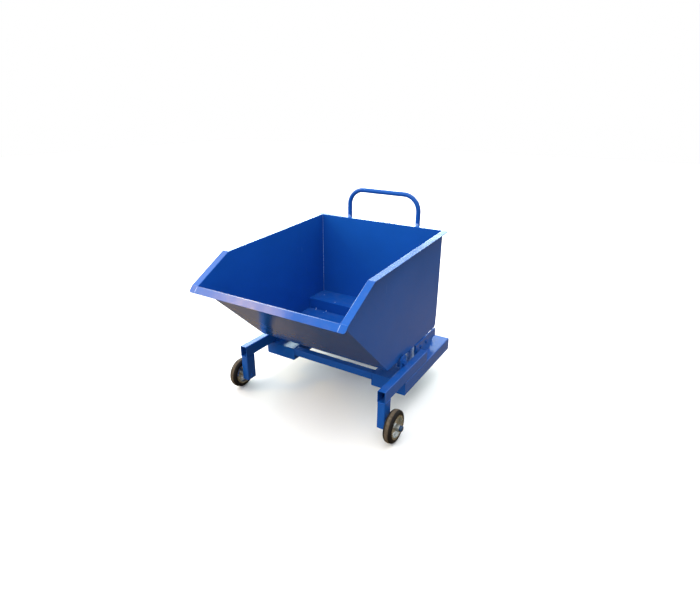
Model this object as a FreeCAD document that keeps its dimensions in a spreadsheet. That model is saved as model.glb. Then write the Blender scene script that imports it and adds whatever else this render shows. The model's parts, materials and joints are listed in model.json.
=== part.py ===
import FreeCAD
import Part
import math
import os
import re
import Sketcher
from FreeCAD import Placement, Rotation, Vector

# A tipping skip trolley: a sheet-steel skip with a sloping chute, hung on two pivot ears of a low frame
# with fork pockets, two front wheels, two rear swivel castors and a slide bolt that locks the skip.
# Frame: +X to the right seen from the chute, +Y to the push handle, +Z up, ground at zero height.

# Driving sizes in millimetres and degrees
SIZES = {
    # Frame tubes
    "rail_gap": 14,
    "rail_front": 240,
    "rail_length": 468,
    "rail_width": 40,
    "rail_height": 60,
    "tube_wall": 3,
    "tube_corner": 5,
    "leg_below_axle": 15,
    "cross_size": 40,
    "pocket_setback": 212,
    "pocket_length": 574,
    "pocket_width": 187,
    "pocket_height": 70,
    "pocket_wall": 4,
    "pocket_clearance": 130,
    "end_plate": 4,
    "channel_depth": 110,
    "channel_wall": 5,
    "channel_inset": 57,
    # Front wheels and their axles
    "wheel_diameter": 160,
    "wheel_width": 40,
    "rim_diameter": 104,
    "rim_lip": 5,
    "rim_sheet": 2.5,
    "hub_diameter": 34,
    "hub_length": 58,
    "axle_diameter": 20,
    "axle_inside": 3,
    "axle_washer": 3,
    "washer_diameter": 37,
    "cap_length": 13,
    "cap_diameter": 28,
    "cap_round": 6,
    "tyre_round": 13,
    "running_gap": 0.05,
    "side_gap": 0.5,
    "seat_gap": 0.1,
    # Tipping pivot
    "pivot_setback": 54,
    "pivot_over_rail": 18,
    "floor_over_pivot": 18,
    "ear_thick": 8,
    "ear_width": 60,
    "ear_rise": 33,
    "ear_chamfer": 14,
    "lug_thick": 8,
    "lug_radius": 28,
    "pivot_bolt": 16,
    "pivot_head": 10,
    "pivot_flats": 24,
    "pivot_nut": 13,
    "spacer_diameter": 30,
    # Skip sheets
    "sheet": 3,
    "skip_width": 740,
    "pivot_to_back": 428,
    "floor_length": 572,
    "chute_angle": 44,
    "chute_length": 564,
    "back_height": 542,
    "rim_length": 775,
    "rim_drop": 38,
    "flange_width": 35,
    "flange_corner": 12,
    "step_depth": 150,
    "step_height": 66,
    "side_clip": 14,
    "bend_radius": 4,
    # Push handle
    "handle_tube": 25,
    "handle_wall": 2.5,
    "handle_span": 424,
    "handle_rise": 154,
    "handle_drop": 278,
    "handle_bend": 86,
    "bracket_height": 30,
    "bracket_thick": 5,
    "bracket_lift": 25,
    # Rear rests under the skip
    "support_thick": 8,
    "support_gap": 8,
    "support_setback": 161,
    "support_length": 191,
    "support_lean": 32,
    "horn_reach": 259,
    "horn_depth": 47,
    "plate_gap": 2,
    "rest_leg": 45,
    "rest_shelf": 50,
    "rest_thick": 5,
    "rest_length": 165,
    "rest_start": 6,
    "pad_width": 40,
    "pad_length": 100,
    "pad_thick": 7.7,
    "rest_gap": 0.3,
    "rest_bolt": 10,
    "rest_head": 6.4,
    "rest_flats": 16,
    "rest_nut": 8,
    "rest_bolt_start": 64,
    "rest_bolt_pitch": 70,
    "rest_bolt_height": 62,
    # Slide bolt lock
    "lock_setback": 50,
    "lock_base": 6,
    "lock_ear": 8,
    "lock_ear_height": 36,
    "lock_depth": 36,
    "lock_inset": 6,
    "lock_span": 50,
    "lock_bolt": 14,
    "lock_axis": 16,
    "lock_tip": 2,
    "lock_reach": 92,
    "lock_rise": 38,
    "lock_bend": 13,
    "lock_stop": 3,
    "lock_stop_diameter": 18,
    "keeper_width": 30,
    "keeper_thick": 5,
    "keeper_ledge": 50,
    "keeper_gap": 2,
    "keeper_side_gap": 4,
    "keeper_height": 60,
    # Rear castors
    "castor_height": 160,
    "castor_wheel": 125,
    "castor_width": 36,
    "castor_rim": 84,
    "castor_rim_lip": 3,
    "castor_hub": 24,
    "castor_hub_length": 44,
    "castor_trail": 40,
    "castor_plate_length": 105,
    "castor_plate_width": 85,
    "castor_plate": 5,
    "castor_hole_length": 80,
    "castor_hole_width": 60,
    "castor_hole": 9,
    "castor_bolt": 8,
    "castor_flats": 13,
    "castor_head": 5.3,
    "castor_nut": 6.5,
    "castor_round": 8,
    "race_diameter": 56,
    "race_height": 7,
    "bearing_height": 3,
    "swivel_diameter": 60,
    "swivel_height": 9,
    "kingpin": 12,
    "kingpin_head": 4,
    "kingpin_head_diameter": 24,
    "fork_wall": 4,
    "fork_crown": 5,
    "fork_top": 64,
    "fork_end": 15,
    "castor_axle": 10,
    "castor_axle_head": 6.4,
    "castor_axle_flats": 16,
}

# Places that follow from the sizes
PLACES = {
    "skip_outer": "skip_width / 2 + sheet",
    "base_half": "skip_outer + rail_gap + rail_width",
    "rail_inner": "base_half - rail_width",
    "pocket_inner": "base_half - pocket_width",
    "pocket_front": "pocket_setback - rail_front",
    "pocket_rear": "pocket_front + pocket_length",
    "pocket_top": "pocket_clearance + pocket_height",
    "axle_y": "rail_height / 2 - rail_front",
    "axle_z": "wheel_diameter / 2",
    "leg_bottom": "axle_z - leg_below_axle",
    "wheel_x": "base_half + axle_washer + side_gap + hub_length / 2",
    "hub_outer": "wheel_x + hub_length / 2 + side_gap",
    "cap_x": "hub_outer + axle_washer",
    "pivot_y": "pocket_front + pivot_setback",
    "pivot_height": "pocket_top + rail_height + pivot_over_rail",
    "skip_bottom": "pivot_height + floor_over_pivot",
    "back_y": "pivot_y + pivot_to_back",
    "rim_z": "skip_bottom + back_height",
    "floor_front": "back_y - floor_length",
    "lip_y": "floor_front + sheet * sin(chute_angle) - chute_length * cos(chute_angle)",
    "lip_z": "skip_bottom + sheet * cos(chute_angle) + chute_length * sin(chute_angle)",
    "bend_y": "back_y - rim_length",
    "bend_z": "rim_z - rim_drop",
    "chamfer_slope": "(bend_z - lip_z) / (bend_y - lip_y)",
    "chamfer_end": "sheet / (chamfer_slope + tan(chute_angle))",
    "step_top": "skip_bottom + step_height",
    "step_front": "back_y - step_depth",
    "handle_y": "back_y + flange_width + seat_gap + handle_tube / 2",
    "support_x": "rail_inner - support_gap - support_thick",
    "support_y": "pivot_y + support_setback",
    "rest_top": "skip_bottom - rest_gap - pad_thick",
    "support_height": "rest_top - pocket_top",
    "plate_height": "skip_bottom - plate_gap - pocket_top",
    "lock_inner": "pocket_inner + lock_inset",
    "lock_y": "back_y + lock_setback",
    "lock_z": "pocket_top + lock_axis",
    "channel_y": "pocket_rear - channel_inset - channel_depth / 2",
    "castor_x": "pocket_inner / 2",
    "race_z": "castor_height - castor_plate - race_height",
    "swivel_z": "race_z - bearing_height",
    "crown_z": "swivel_z - swivel_height",
    "fork_inside": "castor_hub_length / 2 + side_gap",
    "fork_outside": "fork_inside + fork_wall",
}

# Two places nearer than this count as one, and an edge shorter than this is no fold
NEAR = 0.01
SHORT = 1
# Least radius left at the inner corners of a thick-walled tube
LEAST_CORNER = 0.5

WORD = re.compile(r"[a-z][a-z_]+")
doc = FreeCAD.newDocument("tipping_skip_trolley")
sheet = doc.addObject("Spreadsheet::Sheet", "Sizes")
pieces = []


def formula(text):
    """Spell out a formula: places become their own formulas, sizes become cells of the sheet."""
    def spell(match):
        word = match.group()
        if word in PLACES:
            return "(" + formula(PLACES[word]) + ")"
        if word in SIZES:
            return "Sizes." + word
        return word
    return WORD.sub(spell, text)


def number(text):
    """The present value of a formula."""
    return float(sheet.evalExpression(formula(text)))


def fill_sheet():
    for row, (name, size) in enumerate(SIZES.items(), 1):
        sheet.set(f"A{row}", name)
        sheet.set(f"B{row}", str(size))
        sheet.setAlias(f"B{row}", name)
    doc.recompute()


def place(item, x="0", y="0", z="0", turn=None):
    """Put an object at a point given by formulas, turned by an optional rotation."""
    item.Placement = Placement(Vector(), turn or Rotation())
    for axis, text in zip("xyz", (x, y, z)):
        item.setExpression(f"Placement.Base.{axis}", formula(text))
    return item


def keep(item, label):
    """Name an object as a finished piece of the trolley."""
    item.Label = label
    pieces.append(item)
    return item


def new_body(name):
    return doc.addObject("PartDesign::Body", name)


def new_sketch(body, role, offset="0"):
    """A sketch on one of the body's own planes, lifted off it by a formula."""
    sketch = body.newObject("Sketcher::SketchObject", body.Name + "_sketch")
    plane = [item for item in body.Origin.OriginFeatures if item.Role == role][0]
    sketch.AttachmentSupport = [(plane, "")]
    sketch.MapMode = "FlatFace"
    sketch.setExpression("AttachmentOffset.Base.z", formula(offset))
    return sketch


def set_value(sketch, constraint, text):
    index = sketch.addConstraint(constraint)
    sketch.setExpression(f"Constraints[{index}]", formula(text))


def fix_point(sketch, item, end, x, y):
    set_value(sketch, Sketcher.Constraint("DistanceX", -1, 1, item, end, number(x)), x)
    set_value(sketch, Sketcher.Constraint("DistanceY", -1, 1, item, end, number(y)), y)


def circle(sketch, x, y, radius):
    centre = Vector(number(x), number(y), 0)
    item = sketch.addGeometry(Part.Circle(centre, Vector(0, 0, 1), number(radius)), False)
    fix_point(sketch, item, 3, x, y)
    set_value(sketch, Sketcher.Constraint("Radius", item, number(radius)), radius)


def round_corner(before, corner, after, radius):
    """Where the arc of a rounded corner begins and ends, and its centre."""
    back = (before - corner).normalize()
    ahead = (after - corner).normalize()
    half = back.getAngle(ahead) / 2
    reach = radius / math.tan(half)
    middle = (back + ahead).normalize()
    return corner + back * reach, corner + ahead * reach, corner + middle * (radius / math.sin(half))


def outline(sketch, corners, closed=True):
    """Straight lines through corners, each (x, y) or (x, y, radius) in formulas."""
    points = [Vector(number(corner[0]), number(corner[1]), 0) for corner in corners]
    count = len(points)
    starts = list(points)
    ends = list(points)
    centres = {}
    for index, corner in enumerate(corners):
        if len(corner) == 3:
            around = (points[index - 1], points[index], points[(index + 1) % count], number(corner[2]))
            ends[index], starts[index], centres[index] = round_corner(*around)
    lines = []
    for index in range(count if closed else count - 1):
        segment = Part.LineSegment(starts[index], ends[(index + 1) % count])
        lines.append(sketch.addGeometry(segment, False))
    for index, corner in enumerate(corners):
        before = lines[index - 1] if closed or index > 0 else None
        after = lines[index] if index < len(lines) else None
        if index in centres:
            join_round(sketch, before, after, corner, points[index], centres[index])
        elif before is None or after is None:
            fix_point(sketch, before if after is None else after, 2 if after is None else 1, *corner)
        else:
            sketch.addConstraint(Sketcher.Constraint("Coincident", before, 2, after, 1))
            fix_point(sketch, after, 1, *corner)


def join_round(sketch, before, after, corner, point, centre):
    """Join two lines by a tangent arc whose corner point stays at its formulas."""
    arrive = sketch.getPoint(before, 2)
    leave = sketch.getPoint(after, 1)
    left_turn = (arrive - centre).cross(leave - centre).z > 0
    first, last = (arrive, leave) if left_turn else (leave, arrive)
    angles = [math.atan2(spot.y - centre.y, spot.x - centre.x) for spot in (first, last)]
    ring = Part.Circle(centre, Vector(0, 0, 1), (arrive - centre).Length)
    arc = sketch.addGeometry(Part.ArcOfCircle(ring, *angles), False)
    mark = sketch.addGeometry(Part.Point(point), True)
    fix_point(sketch, mark, 1, corner[0], corner[1])
    sketch.addConstraint(Sketcher.Constraint("PointOnObject", mark, 1, before))
    sketch.addConstraint(Sketcher.Constraint("PointOnObject", mark, 1, after))
    sketch.addConstraint(Sketcher.Constraint("Tangent", before, 2, arc, 1 if left_turn else 2))
    sketch.addConstraint(Sketcher.Constraint("Tangent", after, 1, arc, 2 if left_turn else 1))
    set_value(sketch, Sketcher.Constraint("Radius", arc, number(corner[2])), corner[2])


def rectangle(sketch, left, low, right, high, radius=None):
    corners = [(left, low), (right, low), (right, high), (left, high)]
    outline(sketch, [corner + (radius,) for corner in corners] if radius else corners)


def pad(body, sketch, length, side="One side", reverse=False):
    feature = body.newObject("PartDesign::Pad", body.Name + "_pad")
    feature.Profile = sketch
    feature.SideType = side
    feature.Reversed = reverse
    feature.setExpression("Length", formula(length))
    doc.recompute()
    return feature


def cut_through(body, sketch):
    """Cut a sketch right through the body, both ways from its plane."""
    feature = body.newObject("PartDesign::Pocket", body.Name + "_cut")
    feature.Profile = sketch
    feature.Type = "ThroughAll"
    feature.SideType = "Symmetric"
    doc.recompute()
    return feature


def revolve(body, sketch, axis):
    feature = body.newObject("PartDesign::Revolution", body.Name + "_turn")
    feature.Profile = sketch
    feature.ReferenceAxis = (sketch, [axis])
    doc.recompute()
    return feature


def twin_of(item):
    """The opposite hand of a piece, across the trolley's middle plane."""
    twin = doc.addObject("Part::Mirroring", item.Name + "_twin")
    twin.Source = item
    twin.Normal = Vector(1, 0, 0)
    return twin


def group(items, label):
    """Identical pieces, or both hands of one, as separate solids in one node."""
    gathered = doc.addObject("Part::Compound", label)
    gathered.Links = items
    return keep(gathered, label)


def both_hands(item, name):
    """Keep a right-hand piece and its left-hand twin as two nodes."""
    keep(item, "right_" + name)
    keep(twin_of(item), "left_" + name)


def pair(item, label):
    """Keep a right-hand piece and its twin as one node of two solids."""
    return group([item, twin_of(item)], label)


def ring(name, outer, inner, length):
    """A round ring along X that starts at the body's origin."""
    body = new_body(name)
    sketch = new_sketch(body, "YZ_Plane")
    circle(sketch, "0", "0", outer)
    circle(sketch, "0", "0", inner)
    pad(body, sketch, length)
    return body


def plate(name, role, corners, holes, thick):
    """A flat plate with round holes, given as (x, y, radius)."""
    body = new_body(name)
    sketch = new_sketch(body, role)
    outline(sketch, corners)
    for hole in holes:
        circle(sketch, *hole)
    pad(body, sketch, thick)
    return body


def hexagon(sketch, flats):
    """A hexagon round the origin, with its flats facing the sketch's sideways axis."""
    radius = f"{flats} / 2 / cos(30)"
    corners = [(f"{radius} * cos({turn})", f"{radius} * sin({turn})") for turn in range(30, 390, 60)]
    outline(sketch, corners)


def hex_bolt(name, flats, head, shank, length):
    """A bolt along Z: the head above the origin plane, the shank below it."""
    body = new_body(name)
    top = new_sketch(body, "XY_Plane")
    hexagon(top, flats)
    pad(body, top, head)
    stem = new_sketch(body, "XY_Plane")
    circle(stem, "0", "0", f"{shank} / 2")
    pad(body, stem, length, reverse=True)
    return body


def hex_nut(name, flats, bore, height):
    """A nut along Z that starts at the origin plane."""
    body = new_body(name)
    sketch = new_sketch(body, "XY_Plane")
    hexagon(sketch, flats)
    circle(sketch, "0", "0", f"{bore} / 2 + running_gap")
    pad(body, sketch, height)
    return body


# Turns a piece made along Z so that it points along +X or -X
ALONG_X = Rotation(Vector(0, 1, 0), 90)
AGAINST_X = Rotation(Vector(0, 1, 0), -90)


def square_tube(name, role, width, height, wall, length, reverse=False):
    """A rectangular tube with rounded corners, centred on the sketch's origin."""
    body = new_body(name)
    sketch = new_sketch(body, role)
    half_wide = f"({width}) / 2"
    half_high = f"({height}) / 2"
    rectangle(sketch, f"-{half_wide}", f"-{half_high}", half_wide, half_high, "tube_corner")
    in_wide = f"({half_wide} - {wall})"
    in_high = f"({half_high} - {wall})"
    in_corner = f"max(tube_corner - {wall}; {LEAST_CORNER})"
    rectangle(sketch, f"-{in_wide}", f"-{in_high}", in_wide, in_high, in_corner)
    pad(body, sketch, length, reverse=reverse)
    return body


def fork_pockets():
    pocket = square_tube("pocket", "XZ_Plane", "pocket_width", "pocket_height", "pocket_wall",
                         "pocket_length - end_plate", reverse=True)
    middle_x = "base_half - pocket_width / 2"
    middle_z = "pocket_clearance + pocket_height / 2"
    place(pocket, middle_x, "pocket_front + end_plate", middle_z)
    both_hands(pocket, "fork_pocket")
    cover = new_body("pocket_cover")
    sketch = new_sketch(cover, "XZ_Plane")
    rectangle(sketch, "-pocket_width / 2", "-pocket_height / 2", "pocket_width / 2", "pocket_height / 2",
              "tube_corner")
    pad(cover, sketch, "end_plate", reverse=True)
    place(cover, middle_x, "pocket_front", middle_z)
    pair(cover, "pocket_end_plates")


def cross_members():
    front = square_tube("front_cross_member", "YZ_Plane", "cross_size", "cross_size", "tube_wall",
                        "2 * pocket_inner")
    place(front, "-pocket_inner", "pocket_front + cross_size / 2", "pocket_top - cross_size / 2")
    keep(front, "front_cross_member")
    channel = new_body("rear_channel")
    profile = new_sketch(channel, "YZ_Plane")
    half = "channel_depth / 2"
    inside = "(channel_depth / 2 - channel_wall)"
    outline(profile, [
        (f"-{half}", "castor_height"), (half, "castor_height"), (half, "pocket_top"), (inside, "pocket_top"),
        (inside, "castor_height + channel_wall"), (f"-{inside}", "castor_height + channel_wall"),
        (f"-{inside}", "pocket_top"), (f"-{half}", "pocket_top")])
    pad(channel, profile, "2 * pocket_inner", side="Symmetric")
    holes = new_sketch(channel, "XY_Plane")
    for side in (-1, 1):
        for x, y in castor_bolt_spots():
            circle(holes, f"{side} * castor_x + {x}", y, "castor_hole / 2")
    cut_through(channel, holes)
    place(channel, "0", "channel_y", "0")
    keep(channel, "rear_channel")


def rails_and_legs():
    rail = square_tube("rail", "XZ_Plane", "rail_width", "rail_height", "tube_wall", "rail_length",
                       reverse=True)
    rail_x = "base_half - rail_width / 2"
    place(rail, rail_x, "-rail_front", "pocket_top + rail_height / 2")
    both_hands(rail, "side_rail")
    leg = square_tube("leg", "XY_Plane", "rail_width", "rail_height", "tube_wall", "pocket_top - leg_bottom")
    bore = new_sketch(leg, "YZ_Plane")
    circle(bore, "0", "leg_below_axle", "axle_diameter / 2 + running_gap")
    cut_through(leg, bore)
    place(leg, rail_x, "axle_y", "leg_bottom")
    both_hands(leg, "wheel_leg")


def axles():
    start = "(rail_inner - axle_inside)"
    axle = new_body("axle")
    sketch = new_sketch(axle, "YZ_Plane")
    circle(sketch, "0", "0", "axle_diameter / 2")
    pad(axle, sketch, f"cap_x + cap_length - cap_round - {start}")
    place(axle, start, "axle_y", "axle_z")
    both_hands(axle, "axle")
    washers = []
    for name, x in (("inner_washer", "base_half"), ("outer_washer", "hub_outer")):
        washer = ring(name, "washer_diameter / 2", "axle_diameter / 2 + running_gap", "axle_washer")
        place(washer, x, "axle_y", "axle_z")
        washers += [washer, twin_of(washer)]
    group(washers, "axle_washers")
    cap = new_body("axle_cap")
    profile = new_sketch(cap, "XY_Plane")
    seat = "axle_diameter / 2 + running_gap"
    depth = "cap_length - cap_round + seat_gap"
    outline(profile, [
        ("0", seat), (depth, seat), (depth, "0"), ("cap_length", "0"),
        ("cap_length", "cap_diameter / 2", "cap_round"), ("0", "cap_diameter / 2")])
    revolve(cap, profile, "H_Axis")
    place(cap, "cap_x", "axle_y", "axle_z")
    pair(cap, "axle_caps")


def tyre(name, diameter, width, rim, lip, shoulder):
    """A solid tyre round the X axis, seated between the rim's two lips."""
    body = new_body(name)
    sketch = new_sketch(body, "XY_Plane")
    half = f"{width} / 2"
    seat = f"({half} - rim_sheet - seat_gap)"
    bed = f"{rim} / 2 + seat_gap"
    lip_top = f"{rim} / 2 + {lip} + seat_gap"
    tread = f"{diameter} / 2"
    outline(sketch, [
        (f"-{seat}", bed), (seat, bed), (seat, lip_top), (half, lip_top), (half, tread, shoulder),
        (f"-{half}", tread, shoulder), (f"-{half}", lip_top), (f"-{seat}", lip_top)])
    revolve(body, sketch, "H_Axis")
    return body


def rim(name, diameter, width, lip, hub):
    """A pressed rim round the X axis: bed, two lips and a dished web down to the hub."""
    body = new_body(name)
    sketch = new_sketch(body, "XY_Plane")
    half = f"{width} / 2"
    inside = f"({half} - rim_sheet)"
    bed = f"{diameter} / 2"
    under = f"{diameter} / 2 - rim_sheet"
    edge = f"{diameter} / 2 + {lip}"
    bore = f"{hub} / 2 + running_gap"
    dish = f"{hub} / 2 + 3 * rim_sheet"
    outer = f"{width} / 4"
    outline(sketch, [
        (f"-{half}", edge), (f"-{inside}", edge), (f"-{inside}", bed), (inside, bed), (inside, edge),
        (half, edge), (half, under), ("rim_sheet / 2", under), (outer, dish), (outer, bore),
        (f"{outer} - rim_sheet", bore), (f"{outer} - rim_sheet", dish), ("-rim_sheet / 2", under),
        (f"-{half}", under)])
    revolve(body, sketch, "H_Axis")
    return body


def front_wheels():
    rubber = tyre("tyre", "wheel_diameter", "wheel_width", "rim_diameter", "rim_lip", "tyre_round")
    disc = rim("rim", "rim_diameter", "wheel_width", "rim_lip", "hub_diameter")
    for body, name in ((rubber, "tyre"), (disc, "rim")):
        place(body, "wheel_x", "axle_y", "axle_z")
        both_hands(body, name)
    hub = ring("hub", "hub_diameter / 2", "axle_diameter / 2 + running_gap", "hub_length")
    place(hub, "wheel_x - hub_length / 2", "axle_y", "axle_z")
    both_hands(hub, "hub")


def pivot():
    bore = "pivot_bolt / 2 + running_gap"
    half = "ear_width / 2"
    top = "pivot_height + ear_rise"
    shoulder = f"{top} - ear_chamfer"
    ear = plate("ear", "YZ_Plane", [
        (f"-{half}", "pocket_top"), (half, "pocket_top"), (half, shoulder), (f"{half} - ear_chamfer", top),
        (f"ear_chamfer - {half}", top), (f"-{half}", shoulder)], [("0", "pivot_height", bore)], "ear_thick")
    place(ear, "rail_inner - ear_thick", "pivot_y", "0")
    both_hands(ear, "pivot_ear")
    low = "pivot_height - lug_radius"
    lug = plate("lug", "YZ_Plane", [
        ("-lug_radius", "skip_bottom"), ("-lug_radius", low, "lug_radius - seat_gap"),
        ("lug_radius", low, "lug_radius - seat_gap"), ("lug_radius", "skip_bottom")],
        [("0", "pivot_height", bore)], "lug_thick")
    place(lug, "skip_outer - lug_thick", "pivot_y", "0")
    both_hands(lug, "pivot_lug")
    reach = "rail_inner - skip_outer + lug_thick + side_gap + pivot_nut + tube_wall"
    bolt = hex_bolt("pivot_bolt_right", "pivot_flats", "pivot_head", "pivot_bolt", reach)
    place(bolt, "rail_inner", "pivot_y", "pivot_height", ALONG_X)
    pair(bolt, "pivot_bolts")
    nut = hex_nut("pivot_nut_right", "pivot_flats", "pivot_bolt", "pivot_nut")
    place(nut, "skip_outer - lug_thick - side_gap", "pivot_y", "pivot_height", AGAINST_X)
    pair(nut, "pivot_nuts")
    spacer = ring("pivot_spacer", "spacer_diameter / 2", bore,
                  "rail_inner - ear_thick - skip_outer - side_gap")
    place(spacer, "skip_outer + side_gap", "pivot_y", "pivot_height")
    pair(spacer, "pivot_spacers")


def skip_sides():
    side = new_body("skip_side")
    wall = new_sketch(side, "YZ_Plane")
    inner_bend = "floor_front + sheet * tan(chute_angle / 2)"
    floor_top = "skip_bottom + sheet"
    outline(wall, [
        ("back_y - side_clip", floor_top), ("back_y", f"{floor_top} + side_clip"), ("back_y", "rim_z"),
        ("bend_y", "bend_z"), ("lip_y", "lip_z"), (inner_bend, floor_top, "bend_radius")])
    pad(side, wall, "sheet")
    strip = new_sketch(side, "YZ_Plane")
    outline(strip, [
        ("back_y", "rim_z"), ("bend_y", "bend_z"), ("lip_y", "lip_z"),
        ("lip_y + chamfer_end", "lip_z - chamfer_end * tan(chute_angle)"), ("bend_y", "bend_z - sheet"),
        ("back_y", "rim_z - sheet")])
    flange = pad(side, strip, "flange_width")
    inner_edges = rim_edges(flange.Shape)
    fold = side.newObject("PartDesign::Fillet", "skip_side_fold")
    fold.Base = (flange, inner_edges)
    fold.setExpression("Radius", formula("min(bend_radius; sheet - seat_gap)"))
    place(side, "skip_width / 2", "0", "0")
    both_hands(side, "skip_side")


def rim_edges(shape):
    """The two edges where the rim flange folds out of the side wall."""
    low = number("lip_z") - SHORT
    names = []
    for index, edge in enumerate(shape.Edges, 1):
        box = edge.BoundBox
        at_wall = abs(box.XMax) < NEAR and abs(box.XMin) < NEAR
        on_rim = any(abs(box.ZMax - number(top)) < NEAR for top in ("rim_z", "bend_z"))
        if at_wall and on_rim and box.ZMin > low and box.YLength > SHORT:
            names.append(f"Edge{index}")
    return names


def skip_floor():
    floor = new_body("skip_floor")
    inner_bend = "floor_front + sheet * tan(chute_angle / 2)"
    floor_top = "skip_bottom + sheet"
    low_y = "lip_y - sheet * sin(chute_angle)"
    low_z = "lip_z - sheet * cos(chute_angle)"
    riser_back = "step_front + sheet"
    bottom = new_sketch(floor, "YZ_Plane")
    outline(bottom, [
        (riser_back, "skip_bottom"), (riser_back, floor_top), (inner_bend, floor_top, "bend_radius"),
        ("lip_y", "lip_z"), (low_y, low_z), ("floor_front", "skip_bottom", "bend_radius + sheet")])
    pad(floor, bottom, "skip_width + 2 * sheet", side="Symmetric")
    step = new_sketch(floor, "YZ_Plane")
    outline(step, [
        (riser_back, floor_top), (riser_back, "step_top - sheet"), ("back_y", "step_top - sheet"),
        ("back_y", "step_top"), ("step_front", "step_top", "bend_radius"), ("step_front", floor_top)])
    pad(floor, step, "skip_width", side="Symmetric")
    lip = new_sketch(floor, "YZ_Plane")
    thick_y = "sheet * cos(chute_angle)"
    thick_z = "sheet * sin(chute_angle)"
    tip_y = "lip_y - flange_width * sin(chute_angle)"
    tip_z = "lip_z - flange_width * cos(chute_angle)"
    outline(lip, [
        ("lip_y", "lip_z"), (tip_y, tip_z), (f"{tip_y} + {thick_y}", f"{tip_z} - {thick_z}"),
        (f"lip_y + {thick_y}", f"lip_z - {thick_z}")])
    flange = pad(floor, lip, "skip_width + 2 * flange_width", side="Symmetric")
    rounding = floor.newObject("PartDesign::Fillet", "lip_corners")
    rounding.Base = (flange, lip_corner_edges(flange.Shape))
    rounding.setExpression("Radius", formula("flange_corner"))
    keep(floor, "skip_floor")


def lip_corner_edges(shape):
    """The two short edges at the outer ends of the lip flange's tip."""
    end = number("skip_width / 2 + flange_width")
    front = number("lip_y - flange_width * sin(chute_angle)")
    names = []
    for index, edge in enumerate(shape.Edges, 1):
        box = edge.BoundBox
        at_end = abs(abs(box.XMin) - end) < NEAR and box.XLength < NEAR
        if at_end and abs(box.YMin - front) < NEAR and edge.Length < number("sheet") + NEAR:
            names.append(f"Edge{index}")
    return names


def skip_back():
    back = new_body("skip_rear_wall")
    profile = new_sketch(back, "YZ_Plane")
    outline(profile, [
        ("back_y", "step_top - sheet"), ("back_y + sheet", "step_top - sheet"),
        ("back_y + sheet", "rim_z - sheet"), ("back_y + flange_width", "rim_z - sheet"),
        ("back_y + flange_width", "rim_z"),
        ("back_y", "rim_z", "min(bend_radius; sheet - seat_gap)")])
    pad(back, profile, "skip_width + 2 * sheet", side="Symmetric")
    ends = new_sketch(back, "XY_Plane", "rim_z - sheet")
    half = "(skip_width / 2 + flange_width)"
    outline(ends, [
        (f"-{half}", "back_y + sheet"), (half, "back_y + sheet"),
        (half, "back_y + flange_width", "flange_corner"),
        (f"-{half}", "back_y + flange_width", "flange_corner")])
    pad(back, ends, "sheet")
    keep(back, "skip_rear_wall")


def push_handle():
    handle = new_body("push_handle")
    half = "handle_span / 2"
    low = "rim_z - handle_drop"
    top = "rim_z + handle_rise"
    path = new_sketch(handle, "XZ_Plane")
    outline(path, [
        (f"-{half}", low), (f"-{half}", top, "handle_bend"), (half, top, "handle_bend"), (half, low)],
        closed=False)
    section = new_sketch(handle, "XY_Plane", low)
    circle(section, f"-{half}", "0", "handle_tube / 2")
    circle(section, f"-{half}", "0", "handle_tube / 2 - handle_wall")
    doc.recompute()
    pipe = handle.newObject("PartDesign::AdditivePipe", "handle_bend_tube")
    pipe.Profile = section
    pipe.Spine = path
    doc.recompute()
    place(handle, "0", "handle_y", "0")
    keep(handle, "push_handle")
    bracket = new_body("handle_bracket")
    sketch = new_sketch(bracket, "YZ_Plane")
    foot = f"{low} + bracket_lift"
    tube_side = "handle_y - handle_tube / 2 - seat_gap"
    rectangle(sketch, "back_y + sheet", foot, tube_side, f"{foot} + bracket_height")
    pad(bracket, sketch, "bracket_thick", side="Symmetric")
    place(bracket, half, "0", "0")
    pair(bracket, "handle_brackets")


def rear_rests():
    spots = [(f"rest_bolt_start + {index} * rest_bolt_pitch", "rest_bolt_height") for index in (0, 1)]
    hole = "rest_bolt / 2 + running_gap"
    holes = [(y, z, hole) for y, z in spots]
    horn_low = "plate_height - horn_depth"
    support = plate("support", "YZ_Plane", [
        ("0", "0"), ("support_length", "0"), ("support_length + support_lean", horn_low),
        ("horn_reach", horn_low), ("horn_reach", "plate_height"), ("0", "plate_height")], holes,
        "support_thick")
    place(support, "support_x", "support_y", "pocket_top")
    both_hands(support, "support_plate")
    angle = new_body("rest_angle")
    profile = new_sketch(angle, "XZ_Plane")
    outline(profile, [
        ("0", "support_height - rest_leg"), ("0", "support_height"), ("-rest_shelf", "support_height"),
        ("-rest_shelf", "support_height - rest_thick"), ("-rest_thick", "support_height - rest_thick"),
        ("-rest_thick", "support_height - rest_leg")])
    pad(angle, profile, "rest_length", reverse=True)
    bores = new_sketch(angle, "YZ_Plane")
    for y, z in spots:
        circle(bores, f"{y} - rest_start", z, hole)
    cut_through(angle, bores)
    place(angle, "support_x", "support_y + rest_start", "pocket_top")
    both_hands(angle, "rest_angle")
    cushion = new_body("rest_pad")
    face = new_sketch(cushion, "XY_Plane")
    rectangle(face, "-pad_width", "0", "0", "pad_length", "bend_radius")
    pad(cushion, face, "pad_thick")
    place(cushion, "support_x - (rest_shelf - pad_width) / 2", "support_y + rest_start", "rest_top")
    both_hands(cushion, "rest_pad")
    fasteners = []
    for index, (y, z) in enumerate(spots):
        bolt = hex_bolt(f"rest_bolt_{index}", "rest_flats", "rest_head", "rest_bolt",
                        "support_thick + rest_thick + rest_nut + tube_wall")
        place(bolt, "support_x + support_thick", f"support_y + {y}", f"pocket_top + {z}", ALONG_X)
        nut = hex_nut(f"rest_nut_{index}", "rest_flats", "rest_bolt", "rest_nut")
        place(nut, "support_x - rest_thick", f"support_y + {y}", f"pocket_top + {z}", AGAINST_X)
        for item in (bolt, nut):
            fasteners += [item, twin_of(item)]
    group(fasteners, "rest_bolts")


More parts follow.
